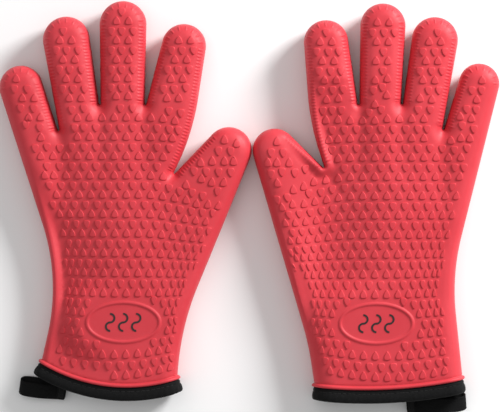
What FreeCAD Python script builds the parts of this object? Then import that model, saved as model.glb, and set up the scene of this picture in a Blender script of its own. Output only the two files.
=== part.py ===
import FreeCAD, Part
import math
import os

V = FreeCAD.Vector

# Pair of heat resistant oven gloves, lying palm down side by side.
# +Z is up (back of the hand), +Y points to the fingertips, +X to the right.
# All sizes in millimetres.

# ---- driving dimensions ----
THICKNESS = 30.0            # height of a glove lying empty on a table
EDGE_ROUND = 14.0           # rounding from the back and the palm into the sides
SHELL_WALL = 1.3            # silicone skin
LINER_GAP = 0.15            # air between skin and lining
LINER_WALL = 2.2            # quilted cotton lining
CROTCH_RADIUS = 0.9         # web between two fingers
FINGER_HINGE_RISE = 18.0    # from the web up to the finger's bending line
HINGE_CLEARANCE = 0.35      # between two pieces at a bending line
STRIP_MARGIN = 0.6          # how far a finger's cutting strip is wider than the finger
KNUCKLE_SIDE_ROOM = 2.6     # slot beside the index finger, where the knuckles turn past the palm
FINGER_BEND = 75.0          # largest bend of a finger, degrees
THUMB_BEND = 50.0
KNUCKLE_BEND = 60.0
BEND_SPARE = 3.0            # extra angle left free past each largest bend, degrees

BEAD_HEIGHT = 3.4           # rim bead along the hem of the skin
BEAD_PROUD = 1.6
BINDING_LENGTH = 11.5       # black tape that binds the lining below the rim
BINDING_INSET = 0.4
BINDING_WALL = 1.0
STITCH_SIZE = (2.4, 0.8, 0.3)
STITCH_PITCH = 4.0

OVAL_HALF = (32.0, 18.0)    # raised oval frame on the back of the cuff
OVAL_RIM = 2.6
OVAL_RISE = 0.9
MARK_THICKNESS = 0.3        # printed heat waves inside the oval
WAVE_RADIUS = 3.6
WAVE_WIDTH = 1.6
WAVE_PITCH = 11.0

LOOP_WIDTH = 10.5           # hanging loop of folded tape
LOOP_TAB_LENGTH = 6.0        # fixed part of the loop's root, behind its round end
LOOP_HEIGHT = 8.0
LOOP_TAPE = 1.4
LOOP_FLOOR = 1.0            # underside of the loop above the table
TACK_SIZE = (1.2, 8.0, 0.5)
TACK_PITCH = 1.6
MIDDLE = THICKNESS / 2.0
LINER_START = SHELL_WALL + LINER_GAP
LINER_END = LINER_START + LINER_WALL
OPEN_END_Y = -190.0         # outlines run past the hem to here, and are trimmed
CUFF_TOP_Y = -120.0         # below this height both sides of the cuff are straight

FINGERS = ("little", "ring", "middle", "index")

# Each digit: centre and radius of the rounded tip, direction in degrees from +X,
# and how much each edge leans out towards the base, in degrees.
# An edge line: direction of its outward normal in degrees, and a point on it.
LEFT = {
    "name": "left",
    "thumb_side": 1,
    "digits": {
        "little": (-194.5, 100.8, 18.2, 107.9, 0.0),
        "ring": (-156.1, 141.1, 19.6, 99.3, -1.2),
        "middle": (-107.9, 154.3, 19.6, 89.7, -0.9),
        "index": (-56.2, 135.9, 18.5, 78.4, 2.8),
        "thumb": (-18.0, 47.6, 19.2, 57.1, 10.7),
    },
    "little_side": (167.1, -174.3, -120.0),
    "little_waist_radius": 176.0,
    "thumb_side_edge": (-1.8, -61.0, -120.0),
    "thumb_waist_radius": 236.0,
    "web_edge": (-27.1, -56.6, 45.0),
    "web_radius": 203.0,
    "knuckle_line": ((-198.0, 40.8), (-54.4, 51.9)),
    "hem": (-104.5, -11.5, 142.0),
    "oval_centre": (-107.1, -98.3),
    "loop_pivot": (-166.5, -158.5),
    "loop_direction": 172.0,
    "loop_length": 36.0,
}
RIGHT = {
    "name": "right",
    "thumb_side": -1,
    "digits": {
        "little": (194.7, 103.9, 16.9, 74.4, 1.5),
        "ring": (157.1, 141.0, 19.3, 81.0, -1.0),
        "middle": (113.0, 153.0, 18.9, 88.0, -1.2),
        "index": (64.7, 139.1, 18.6, 96.5, 2.1),
        "thumb": (20.9, 47.1, 18.4, 120.9, 14.6),
    },
    "little_side": (5.9, 177.7, -120.0),
    "little_waist_radius": 189.0,
    "thumb_side_edge": (188.6, 50.2, -120.0),
    "thumb_waist_radius": 233.0,
    "web_edge": (197.7, 59.5, 45.0),
    "web_radius": 203.0,
    "knuckle_line": ((197.0, 40.8), (57.0, 52.5)),
    "hem": (97.8, 244.3, 400.0),
    "oval_centre": (106.8, -99.4),
    "loop_pivot": (143.0, -170.6),
    "loop_direction": 4.0,
    "loop_length": 44.0,
}


def polar(degrees, length=1.0):
    """Vector of a given length in the XY plane."""
    angle = math.radians(degrees)
    return V(length * math.cos(angle), length * math.sin(angle), 0.0)


# ---- outline of a glove ----
def line_through(normal_degrees, x, y):
    """A straight edge, as its outward normal and the distance along it."""
    normal = polar(normal_degrees)
    return normal, normal.dot(V(x, y, 0.0))


def digit_edges(digit, side):
    """The two straight edges of a digit, little-finger side first."""
    x, y, radius, direction, lean = digit
    edges = []
    for turn in (side, -side):
        normal = polar(direction + turn * (90.0 - lean))
        edges.append((normal, normal.dot(V(x, y, 0.0)) + radius))
    return edges


def arc_centre(first, second, reach):
    """Centre of the arc that touches two edges, a given reach outside both."""
    (n1, c1), (n2, c2) = first, second
    cross = n1.x * n2.y - n1.y * n2.x
    a, b = c1 + reach, c2 + reach
    return V((a * n2.y - b * n1.y) / cross, (n1.x * b - n2.x * a) / cross, 0.0)


def glove_corners(spec):
    """Every round corner in order: centre, radius, +1 convex or -1 hollow, normals, middle."""
    side = spec["thumb_side"]
    corners = []

    def join(first, second, radius, bulge):
        centre = arc_centre(first, second, -bulge * radius)
        middle = (first[0] + second[0]).normalize()
        corners.append((centre, radius, bulge, first, second, middle))

    previous = line_through(*spec["little_side"])
    gap = (spec["little_waist_radius"], -1)
    for name in FINGERS + ("thumb",):
        digit = spec["digits"][name]
        near, far = digit_edges(digit, side)
        join(previous, near, *gap)
        tip = V(digit[0], digit[1], 0.0)
        corners.append((tip, digit[2], 1, near, far, polar(digit[3])))
        previous = far
        gap = (CROTCH_RADIUS, -1)
        if name == "index":
            web = line_through(*spec["web_edge"])
            join(far, web, spec["web_radius"], 1)
            previous = web
    join(previous, line_through(*spec["thumb_side_edge"]), spec["thumb_waist_radius"], -1)
    return corners


def point_at_y(line, inset, y):
    normal, distance = line
    return V((distance - inset - normal.y * y) / normal.x, y, 0.0)


def outline_face(spec, inset):
    """Flat face inside the glove's outline, moved inwards by the inset."""
    corners = glove_corners(spec)
    start = point_at_y(corners[0][3], inset, OPEN_END_Y)
    edges = []
    here = start
    for centre, radius, bulge, first, second, middle in corners:
        reach = bulge * (radius - bulge * inset)
        arrive = centre + first[0] * reach
        leave = centre + second[0] * reach
        edges.append(Part.LineSegment(here, arrive).toShape())
        edges.append(Part.Arc(arrive, centre + middle * reach, leave).toShape())
        here = leave
    end = point_at_y(corners[-1][4], inset, OPEN_END_Y)
    edges.append(Part.LineSegment(here, end).toShape())
    edges.append(Part.LineSegment(end, start).toShape())
    return Part.Face(Part.Wire(edges))


def rounded_block(face, inset, open_ends):
    """Extrude a face to the inset height and round all its edges but the open ends."""
    face.translate(V(0.0, 0.0, inset))
    block = face.extrude(V(0.0, 0.0, THICKNESS - 2.0 * inset))
    rounded = []
    for edge in block.Edges:
        box = edge.BoundBox
        is_flat = box.ZLength < 1e-6
        is_open_end = box.YLength < 1e-3 and round(box.YMax, 3) in open_ends
        if is_flat and not is_open_end:
            rounded.append(edge)
    return block.makeFillet(EDGE_ROUND - inset, rounded)


def pillow(spec, inset):
    """Solid glove body with rounded sides, everywhere inset from the outer surface."""
    return rounded_block(outline_face(spec, inset), inset, (OPEN_END_Y,))


def cuff_block(spec, inset):
    """The same body at the hem only, where the two sides are straight."""
    little = line_through(*spec["little_side"])
    thumb = line_through(*spec["thumb_side_edge"])
    corners = [
        point_at_y(little, inset, OPEN_END_Y),
        point_at_y(little, inset, CUFF_TOP_Y),
        point_at_y(thumb, inset, CUFF_TOP_Y),
        point_at_y(thumb, inset, OPEN_END_Y),
    ]
    face = Part.Face(Part.makePolygon(corners + corners[:1]))
    return rounded_block(face, inset, (OPEN_END_Y, CUFF_TOP_Y))


def above_hem(spec, drop):
    """Tall block that keeps everything above the curved hem, lowered by drop."""
    x, y, radius = spec["hem"]
    reach = radius + drop
    half, wide, top, bottom = 100.0, 300.0, 260.0, -10.0
    side_y = y - math.sqrt(reach * reach - half * half)
    left = V(x - half, side_y, bottom)
    right = V(x + half, side_y, bottom)
    arc = Part.Arc(left, V(x, y - reach, bottom), right).toShape()
    corners = [
        right,
        V(x + wide, side_y, bottom),
        V(x + wide, top, bottom),
        V(x - wide, top, bottom),
        V(x - wide, side_y, bottom),
        left,
    ]
    sides = []
    for first, second in zip(corners, corners[1:]):
        sides.append(Part.LineSegment(first, second).toShape())
    face = Part.Face(Part.Wire([arc] + sides))
    return face.extrude(V(0.0, 0.0, THICKNESS + 20.0))


# ---- bending lines ----
def along_box(origin, direction, x0, x1, half_width, z0, z1):
    """Box along a direction in the XY plane, measured from an origin."""
    box = Part.makeBox(x1 - x0, 2.0 * half_width, z1 - z0, V(x0, -half_width, z0))
    box.rotate(V(0, 0, 0), V(0, 0, 1), direction)
    box.translate(origin)
    return box


def finger_strip(digit, start, margin):
    """Upright prism round one digit, from a distance start along its axis to past its tip."""
    x, y, radius, direction, lean = digit
    tip = V(x, y, 0.0)
    axis = polar(direction)
    reach = radius + margin
    points = []
    for turn in (1, -1):
        normal = polar(direction + turn * (90.0 - lean))
        touch = tip + normal * reach
        slide = polar(direction - turn * lean)
        back = touch - slide * ((touch - tip).dot(axis) - start)
        points.append((touch, back))
    (touch_a, back_a), (touch_b, back_b) = points
    wire = Part.Wire([
        Part.LineSegment(back_a, touch_a).toShape(),
        Part.Arc(touch_a, tip + axis * reach, touch_b).toShape(),
        Part.LineSegment(touch_b, back_b).toShape(),
        Part.LineSegment(back_b, back_a).toShape(),
    ])
    face = Part.Face(wire)
    face.translate(V(0.0, 0.0, -5.0))
    return face.extrude(V(0.0, 0.0, THICKNESS + 10.0))


def knuckle_strip(spec, margin):
    """Upright prism over the four fingers, bounded beside the index finger."""
    side = spec["thumb_side"]
    x, y = spec["knuckle_line"][1]
    lean = spec["web_edge"][0]
    along = polar(lean + 90.0 * side)
    base = V(x, y, -5.0) + polar(lean, margin)
    outward = V(-400.0 * side, 0.0, 0.0)
    low = base - along * 60.0
    high = base + along * 240.0
    corners = [low, high, high + outward, low + outward, low]
    return Part.Face(Part.makePolygon(corners)).extrude(V(0.0, 0.0, THICKNESS + 10.0))


def bending_zone(strip, pivot, direction, radius):
    """The part of a strip that turns: everything past the pivot, and a round end about it."""
    beyond = along_box(pivot, direction, 0.0, 300.0, 300.0, -MIDDLE - 5.0, MIDDLE + 5.0)
    side = polar(direction + 90.0)
    barrel = Part.makeCylinder(radius, 600.0, pivot - side * 300.0, side)
    return strip.common(beyond.fuse(barrel))


def palm_relief(pivot, direction, half_width, bend):
    """Room on the palm side for the piece that has turned down by its largest bend."""
    depth = MIDDLE + HINGE_CLEARANCE
    box = along_box(pivot, direction, 0.0, 40.0, half_width, -depth, 0.0)
    box.rotate(pivot, polar(direction + 90.0), bend + BEND_SPARE)
    return box


def web_points(spec):
    """Centres of the webs between the digits, from the little finger to the thumb."""
    corners = glove_corners(spec)
    return [corner[0] for corner in corners if corner[1] == CROTCH_RADIUS]


def digit_hinge(spec, name):
    """Pivot point of a digit's bending line: a fixed rise above its highest web."""
    order = FINGERS + ("thumb",)
    position = order.index(name)
    webs = web_points(spec)
    beside = webs[max(0, position - 1):position + 1]
    x, y, radius, direction, lean = spec["digits"][name]
    tip = V(x, y, MIDDLE)
    axis = polar(direction)
    highest = max((web - tip).dot(axis) for web in beside)
    return tip + axis * (highest + FINGER_HINGE_RISE)


def knuckle_hinge(spec):
    """Pivot point and direction of the bending line across the palm."""
    (x1, y1), (x2, y2) = spec["knuckle_line"]
    across = math.degrees(math.atan2(y2 - y1, x2 - x1))
    direction = across + 90.0 * spec["thumb_side"]
    return V((x1 + x2) / 2.0, (y1 + y2) / 2.0, MIDDLE), direction


def digit_zone(spec, name, margin, clearance):
    """Turning zone of one digit."""
    digit = spec["digits"][name]
    pivot = digit_hinge(spec, name)
    tip = V(digit[0], digit[1], MIDDLE)
    start = (pivot - tip).dot(polar(digit[3])) - MIDDLE - 5.0
    strip = finger_strip(digit, start, margin)
    return bending_zone(strip, pivot, digit[3], MIDDLE + clearance)


def digit_cutter(spec, name):
    """What the neighbouring piece loses so that one digit can turn."""
    digit = spec["digits"][name]
    pivot = digit_hinge(spec, name)
    behind = (V(digit[0], digit[1], MIDDLE) - pivot).Length
    half_width = digit[2] + behind * math.sin(math.radians(digit[4])) + STRIP_MARGIN
    bend = THUMB_BEND if name == "thumb" else FINGER_BEND
    zone = digit_zone(spec, name, STRIP_MARGIN + 0.1, HINGE_CLEARANCE)
    return [zone, palm_relief(pivot, digit[3], half_width, bend)]


def knuckle_zone(spec, margin, clearance):
    pivot, direction = knuckle_hinge(spec)
    return bending_zone(knuckle_strip(spec, margin), pivot, direction, MIDDLE + clearance)


def knuckle_cutter(spec):
    pivot, direction = knuckle_hinge(spec)
    zone = knuckle_zone(spec, STRIP_MARGIN + KNUCKLE_SIDE_ROOM, HINGE_CLEARANCE)
    relief = palm_relief(pivot, direction, 300.0, KNUCKLE_BEND)
    return [zone, relief.common(knuckle_strip(spec, STRIP_MARGIN + KNUCKLE_SIDE_ROOM))]


def split_at_hinges(spec, skin):
    """Cut one skin of the glove into the pieces that bend against each other."""
    palm = skin.cut([*knuckle_cutter(spec), *digit_cutter(spec, "thumb")])
    knuckle_cuts = []
    for name in FINGERS:
        knuckle_cuts += digit_cutter(spec, name)
    knuckles = skin.common(knuckle_zone(spec, STRIP_MARGIN, 0.0)).cut(knuckle_cuts)
    pieces = {"palm": palm, "knuckles": knuckles}
    for name in FINGERS + ("thumb",):
        pieces[name] = skin.common(digit_zone(spec, name, STRIP_MARGIN, 0.0))
    return pieces


# ---- pieces of a glove ----
def rim_bead(spec):
    """Thick rim round the hem of the skin, flat underneath."""
    band = above_hem(spec, 0.0).cut(above_hem(spec, -BEAD_HEIGHT))
    ring = cuff_block(spec, -BEAD_PROUD).cut(cuff_block(spec, SHELL_WALL / 2.0)).common(band)
    above_table = Part.makeBox(700.0, 700.0, 100.0, V(-350.0, -350.0, 0.0))
    return ring.common(above_table)


def oval_frame(spec):
    """Raised oval rim on the back of the cuff, rooted in the skin."""
    x, y = spec["oval_centre"]
    rings = []
    for shrink in (0.0, OVAL_RIM):
        curve = Part.Ellipse(V(x, y, THICKNESS - 0.8), OVAL_HALF[0] - shrink, OVAL_HALF[1] - shrink)
        face = Part.Face(Part.Wire([curve.toShape()]))
        rings.append(face.extrude(V(0.0, 0.0, 0.8 + OVAL_RISE)))
    return rings[0].cut(rings[1])


def print_mark(spec):
    """Three upright heat waves, each two half rings one above the other."""
    x, y = spec["oval_centre"]
    inner = WAVE_RADIUS - WAVE_WIDTH / 2.0
    outer = WAVE_RADIUS + WAVE_WIDTH / 2.0
    waves = []
    for number in (-1, 0, 1):
        for half in (-1, 1):
            base = V(x + number * WAVE_PITCH, y + half * WAVE_RADIUS, THICKNESS)
            ring = Part.makeCylinder(outer, MARK_THICKNESS, base)
            ring = ring.cut(Part.makeCylinder(inner, MARK_THICKNESS, base))
            side = Part.makeBox(outer, 2.0 * outer, MARK_THICKNESS, base - V(0.0, outer, 0.0))
            if half < 0:
                side.translate(V(-outer, 0.0, 0.0))
            waves.append(ring.common(side))
    joined = waves[0].fuse(waves[1:])
    return joined.removeSplitter()


def cuff_binding(spec):
    """Folded tape round the end of the lining, open upwards in a U."""
    band = above_hem(spec, BINDING_LENGTH).cut(above_hem(spec, 0.1))
    inner_inset = LINER_END + 0.1 + BINDING_WALL
    ring = cuff_block(spec, BINDING_INSET).cut(cuff_block(spec, inner_inset)).common(band)
    groove = cuff_block(spec, BINDING_INSET + BINDING_WALL)
    groove = groove.cut(cuff_block(spec, LINER_END + 0.1))
    return ring.cut(groove.common(above_hem(spec, BINDING_LENGTH - BINDING_WALL)))


def binding_stitches(spec):
    """Row of stitches through the binding, on its back and its palm side."""
    x, y, radius = spec["hem"]
    row = radius + BINDING_LENGTH * 0.3
    step = math.degrees(STITCH_PITCH / row)
    low = point_at_y(line_through(*spec["little_side"]), 0.0, -150.0).x
    high = point_at_y(line_through(*spec["thumb_side_edge"]), 0.0, -150.0).x
    left = min(low, high) + EDGE_ROUND + 2.0
    right = max(low, high) - EDGE_ROUND - 2.0
    length, width, height = STITCH_SIZE
    stitches = []
    for number in range(-40, 41):
        angle = -90.0 + number * step
        centre = V(x, y, 0.0) + polar(angle, row)
        if left < centre.x < right:
            for base in (THICKNESS - BINDING_INSET, BINDING_INSET - height):
                stitch = Part.makeBox(length, width, height, V(-length / 2.0, -width / 2.0, 0.0))
                stitch.rotate(V(0, 0, 0), V(0, 0, 1), angle + 90.0)
                stitch.translate(V(centre.x, centre.y, base))
                stitches.append(stitch)
    return Part.makeCompound(stitches)


def place_loop(spec, shape):
    """Move a shape drawn along +X from the pivot to where the loop lies."""
    x, y = spec["loop_pivot"]
    shape.rotate(V(0, 0, 0), V(0, 0, 1), spec["loop_direction"])
    shape.translate(V(x, y, LOOP_FLOOR))
    return shape


def rounded_bar(start, end, half_width, bottom, top):
    """Flat bar along X whose far end is rounded in height, like a fold of tape."""
    half_height = (top - bottom) / 2.0
    centre = end - half_height
    bar = Part.makeBox(centre - start, 2.0 * half_width, top - bottom, V(start, -half_width, bottom))
    fold = Part.makeCylinder(half_height, 2.0 * half_width,
                             V(centre, -half_width, bottom + half_height), V(0, 1, 0))
    return bar.fuse(fold)


def hanging_loop(spec):
    """Tape folded back on itself, sewn shut at the pivot end."""
    half = LOOP_WIDTH / 2.0
    reach = spec["loop_length"] - half
    band = rounded_bar(0.0, reach, half, 0.0, LOOP_HEIGHT)
    eye = rounded_bar(half + 2.0, reach - LOOP_TAPE, half + 1.0,
                      LOOP_TAPE, LOOP_HEIGHT - LOOP_TAPE)
    root = Part.makeCylinder(half, LOOP_HEIGHT)
    return place_loop(spec, band.cut(eye).fuse(root).removeSplitter())


def loop_tab(spec):
    """Sewn root of the loop, fixed to the end of the binding."""
    half = LOOP_WIDTH / 2.0
    length = half + LOOP_TAB_LENGTH
    tab = Part.makeBox(length, LOOP_WIDTH + 3.0, LOOP_HEIGHT, V(-length, -half, 0.0))
    if spec["thumb_side"] > 0:
        tab.translate(V(0.0, -3.0, 0.0))
    tab = tab.cut(Part.makeCylinder(half + HINGE_CLEARANCE, LOOP_HEIGHT))
    past = Part.makeBox(40.0, 40.0, LOOP_HEIGHT, V(-2.0, -20.0, 0.0))
    room_y = 0.0 if spec["thumb_side"] > 0 else -20.0
    swing_room = Part.makeBox(40.0, 20.0, LOOP_HEIGHT, V(-half - 1.0, room_y, 0.0))
    tab = place_loop(spec, tab.cut([past, swing_room]))
    return tab.cut(above_hem(spec, BINDING_LENGTH))


def loop_tack(spec):
    """Bar of close stitches on top of the loop's root."""
    length, width, height = TACK_SIZE
    half = LOOP_WIDTH / 2.0
    bars = []
    for number in range(3):
        x = -half - 2.0 - number * TACK_PITCH
        bar = Part.makeBox(length, width, height, V(x - length / 2.0, -width / 2.0, LOOP_HEIGHT))
        bars.append(place_loop(spec, bar))
    return Part.makeCompound(bars)


def single_solid(shape):
    """The one solid that a boolean result holds."""
    return shape if len(shape.Solids) != 1 else shape.Solids[0]


def build_glove(spec):
    """All pieces of one glove, by name."""
    outer = pillow(spec, 0.0)
    trimmed = above_hem(spec, 0.0)
    skin = outer.cut(pillow(spec, SHELL_WALL)).common(trimmed)
    skin = skin.fuse([rim_bead(spec), oval_frame(spec)])
    lining = pillow(spec, LINER_START).cut(pillow(spec, LINER_END))
    lining = lining.common(above_hem(spec, BINDING_LENGTH - BINDING_WALL - 0.1))
    pieces = {}
    for name, shape in split_at_hinges(spec, skin).items():
        pieces[name + "_shell"] = shape
    for name, shape in split_at_hinges(spec, lining).items():
        pieces[name + "_liner"] = shape
    pieces["cuff_binding"] = cuff_binding(spec)
    pieces["binding_stitches"] = binding_stitches(spec)
    pieces["print_mark"] = print_mark(spec)
    pieces["hanging_loop"] = hanging_loop(spec)
    pieces["loop_tab"] = loop_tab(spec)
    pieces["loop_tack"] = loop_tack(spec)
    return {spec["name"] + "_" + key: single_solid(shape) for key, shape in pieces.items()}


# The origin is under the middle of the pair, on the table.
nodes = {}
for glove in (LEFT, RIGHT):
    nodes.update(build_glove(glove))
whole = FreeCAD.BoundBox()
for shape in nodes.values():
    whole.add(shape.BoundBox)
ORIGIN = V((whole.XMin + whole.XMax) / 2.0, (whole.YMin + whole.YMax) / 2.0, whole.ZMin)

os.makedirs("parts", exist_ok=True)
for name, shape in nodes.items():
    shape.translate(-ORIGIN)
    shape.exportStep("parts/" + name + ".step")
    box = shape.BoundBox
    print("%-26s solids %3d volume %9.1f valid %s  z %.2f..%.2f" % (
        name, len(shape.Solids), shape.Volume, shape.isValid(), box.ZMin, box.ZMax))
print("size %.1f x %.1f x %.1f, origin %s" % (whole.XLength, whole.YLength, whole.ZLength, ORIGIN))
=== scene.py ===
import math

import bpy
import numpy as np
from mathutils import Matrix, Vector
from mathutils.geometry import delaunay_2d_cdt
from mathutils.kdtree import KDTree


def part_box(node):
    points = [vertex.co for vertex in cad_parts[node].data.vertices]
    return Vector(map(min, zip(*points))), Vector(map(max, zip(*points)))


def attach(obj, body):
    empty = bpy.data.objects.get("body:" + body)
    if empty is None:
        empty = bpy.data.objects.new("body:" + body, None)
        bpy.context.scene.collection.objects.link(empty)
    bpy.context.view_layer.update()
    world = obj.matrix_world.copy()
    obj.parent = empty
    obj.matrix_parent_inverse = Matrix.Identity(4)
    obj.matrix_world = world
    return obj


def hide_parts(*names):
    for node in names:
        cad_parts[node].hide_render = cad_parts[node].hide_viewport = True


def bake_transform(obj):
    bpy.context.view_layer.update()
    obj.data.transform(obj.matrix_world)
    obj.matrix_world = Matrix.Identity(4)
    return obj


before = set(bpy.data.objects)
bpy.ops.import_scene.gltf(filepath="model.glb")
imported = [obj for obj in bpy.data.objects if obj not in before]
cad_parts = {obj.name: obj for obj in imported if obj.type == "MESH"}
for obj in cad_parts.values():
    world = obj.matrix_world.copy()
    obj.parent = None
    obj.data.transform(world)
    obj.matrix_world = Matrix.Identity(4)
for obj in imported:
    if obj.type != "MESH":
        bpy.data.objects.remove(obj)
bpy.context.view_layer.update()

# ---- the gloves' own dimensions, in millimetres, as in the solid model ----
HALF = 15.0                 # half of a glove's thickness, and the height of its mould line
EDGE_ROUND = 14.0           # how far in from the outline the surface goes on rising
FULLNESS = 2.3              # 2 makes the edge a quarter circle, more makes it fuller
CROTCH_RADIUS = 0.9
FINGERS = ("little", "ring", "middle", "index")
DIGITS = FINGERS + ("thumb",)
BEAD_HEIGHT = 4.0           # of the rim bead, which ends at the hem's arc
OVAL_HALF = (32.0, 18.0)    # half axes of the raised oval's frame
OVAL_HEIGHT = 0.9
OVAL_STEPS = 120
OVAL_FRAME = (0.95, 0.11)   # middle and half width of the frame with its clearance, as shares of the oval
# Inset from the half axes and share of the height, across the frame.
OVAL_RINGS = ((-0.8, 0.0), (-0.2, 0.25), (0.5, 0.85), (1.4, 1.0), (2.1, 0.85), (2.8, 0.25), (3.4, 0.0))
FLOOR_GAP = 0.05            # trim stays this far above the table

# Digit: tip centre x and y, tip radius, direction in degrees, lean of each edge in degrees.
# Edge line: direction of its outward normal in degrees, and a point on it.
# Hem: centre and radius of its arc. Rows: x of a column of drops that point down, and y of a row.
# Fold: start, end, width to the left and to the right of it, depth. Narrow_band: share of the
# smooth edge that is lost on the cuff's thumb side. Gather: ripple of the binding at the thumb's end.
GLOVES = {
    "left": {
        "thumb_side": 1,
        "digits": {
            "little": (-194.5, 100.8, 18.2, 107.9, 0.0),
            "ring": (-156.1, 141.1, 19.6, 99.3, -1.2),
            "middle": (-107.9, 154.3, 19.6, 89.7, -0.9),
            "index": (-56.2, 135.9, 18.5, 78.4, 2.8),
            "thumb": (-18.0, 47.6, 19.2, 57.1, 10.7),
        },
        "little_side": (167.1, -174.3, -120.0),
        "little_waist_radius": 176.0,
        "thumb_side_edge": (-1.8, -61.0, -120.0),
        "thumb_waist_radius": 236.0,
        "web_edge": (-27.1, -56.6, 45.0),
        "web_radius": 203.0,
        "hem": (-104.5, -11.5, 142.0),
        "oval_centre": (-107.1, -98.3),
        "rows": (-109.5, 98.9),
        "narrow_band": 0.6,
        "loop_pivot": (-166.5, -158.5),
        "loop_direction": 172.0,
        "loop_reach": 29.8,
        "gather": 0.75,
        "slack": 2.6,
        "folds": (((-160.0, 40.0), (-152.0, -150.0), 18.0, 30.0, 8.0),
                  ((-75.0, 30.0), (-60.0, -120.0), 16.0, 20.0, 1.0)),
    },
    "right": {
        "thumb_side": -1,
        "digits": {
            "little": (194.7, 103.9, 16.9, 74.4, 1.5),
            "ring": (157.1, 141.0, 19.3, 81.0, -1.0),
            "middle": (113.0, 153.0, 18.9, 88.0, -1.2),
            "index": (64.7, 139.1, 18.6, 96.5, 2.1),
            "thumb": (20.9, 47.1, 18.4, 120.9, 14.6),
        },
        "little_side": (5.9, 177.7, -120.0),
        "little_waist_radius": 189.0,
        "thumb_side_edge": (188.6, 50.2, -120.0),
        "thumb_waist_radius": 233.0,
        "web_edge": (197.7, 59.5, 45.0),
        "web_radius": 203.0,
        "hem": (97.8, 244.3, 400.0),
        "oval_centre": (106.8, -99.4),
        "rows": (110.9, 97.7),
        "narrow_band": 0.25,
        "loop_pivot": (143.0, -170.6),
        "loop_direction": 4.0,
        "loop_reach": 41.0,
        "gather": 0.15,
        "slack": 0.5,
        "folds": (((60.0, 85.0), (64.0, -92.0), 24.0, 36.0, 10.0),
                  ((160.0, 60.0), (158.0, -110.0), 24.0, 12.0, 1.2)),
    },
}

# ---- the relief of the skin, in millimetres ----
FLAT_SIDE = 1.0             # half height of the upright band at the silhouette
PARTING_LINE = 0.25         # mould line standing out of that band
BAND_RINGS = (0.0, 0.5, 1.1, 1.7, 2.4, 3.3, 4.5, 5.3, 5.8)      # insets across the smooth edge band
RIB_RINGS = (0.0, 0.0, 0.05, 0.5, 1.0, 1.0, 1.0, 0.8, 0.0)      # share of a rib's height at each of them
RIB_PITCH = 2.8
RIB_HEIGHT = 0.45
TICK_PITCH = 7.7            # of the shorter ribs round a fingertip
DROP_HEIGHT = 0.9
DROP_PITCH = 10.35          # from column to column
ROW_PERIOD = 16.3           # from a row of points down to the next such row
ROW_SHIFT = 7.75            # from a row of points down to the next row of points up
FILL_SPACING = 2.3
BARRIER_GAP = 0.42          # fill points keep this share of their spacing from every feature
DROP_CLEARANCE = 3.3        # and this far from a drop's centre
HEM_SAG = 11.0              # rows of drops curve down like the hem, most at this depth below y = 0
SAG_FROM_CENTRE = 150.0
SQUEEZE = 0.9               # the cuff's columns crowd towards this share of its half width
SQUEEZE_TOP, SQUEEZE_RUN = 30.0, 80.0           # from this y down, fully after this run
RELEASE_TOP, RELEASE_RUN = -85.0, 50.0          # and less again near the hem
RELEASE_SHARE = 0.6
WIDEST_ANGLE = 1.45
THUMB_DROOP = 7.0           # rows droop towards the thumb's base
DROOP_START, DROOP_RUN = 8.0, 60.0
DROOP_CENTRE_Y, DROOP_SPREAD = 5.0, 55.0
CREASE_DEPTH = 3.6          # of the crease that runs on from each web
CREASE_WIDTH = 4.5
CREASE_LENGTH = 11.0
WEB_FOLD_LENGTH = 62.0      # shallow fold from each finger web down the palm
WEB_FOLD_WIDTH = 8.0
WEB_FOLD_DEPTH = 1.5
UNDERSIDE_SWELL = 0.35      # share of the folds that shows on the underside
SLACK_TOP, SLACK_RUN = 45.0, 70.0               # the cuff has sunk from this y down
BAND_TOP, BAND_RUN = -30.0, 50.0                # and its smooth band narrows from this y down
OVAL_CALM = 6.0             # folds fade out this far round the oval
CUT_ABOVE_WEB = 1.0         # skin pieces meet just above the web between two digits
HINGE_RISE = 18.0           # a digit's bending line lies this far above the web
SKIN = 1.3                  # thickness of the silicone
LINING = (1.7, 3.7)         # depths of the lining's two faces below the skin's outside
STATION_SPACING = 2.0
FINE_SPACING = 0.5
PAST_HEM = 60               # fine stations
CUT_SPACING = 1.6           # of points along the line where skin pieces meet, at a digit's full width
INNER_SPACING = 4.5


def smoothstep(share):
    """0 to 1 with a soft start and a soft end, for a share that is clipped to 0..1 first."""
    share = np.clip(share, 0.0, 1.0)
    return share * share * (3.0 - 2.0 * share)


def polar(degrees, length=1.0):
    angle = math.radians(degrees)
    return np.array((math.cos(angle), math.sin(angle))) * length


def find_origin():
    """The row frame's origin in glove millimetres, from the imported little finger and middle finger."""
    digits = GLOVES["left"]["digits"]
    x, _, side_radius = digits["little"][:3]
    _, y, top_radius = digits["middle"][:3]
    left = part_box("left_little_shell")[0].x * 1000.0
    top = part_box("left_middle_shell")[1].y * 1000.0
    return np.array((x - side_radius - left, y + top_radius - top, 0.0))


ORIGIN = find_origin()


def to_frame(points):
    """Glove millimetres to the row frame's metres."""
    return (np.asarray(points, float) - ORIGIN) / 1000.0


# ---- outline of a glove ----
def line_through(normal_degrees, x, y):
    """A line as its unit normal and its distance from the origin."""
    normal = polar(normal_degrees)
    return normal, normal @ np.array((x, y))


def digit_edges(digit, side):
    """The two straight edges of a digit, which touch its round tip."""
    x, y, radius, direction, lean = digit
    edges = []
    for turn in (side, -side):
        normal = polar(direction + turn * (90.0 - lean))
        edges.append((normal, normal @ np.array((x, y)) + radius))
    return edges


def arc_centre(first, second, reach):
    """The place at one distance from both of two lines."""
    return np.linalg.solve(np.array((first[0], second[0])), np.array((first[1], second[1])) + reach)


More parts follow.
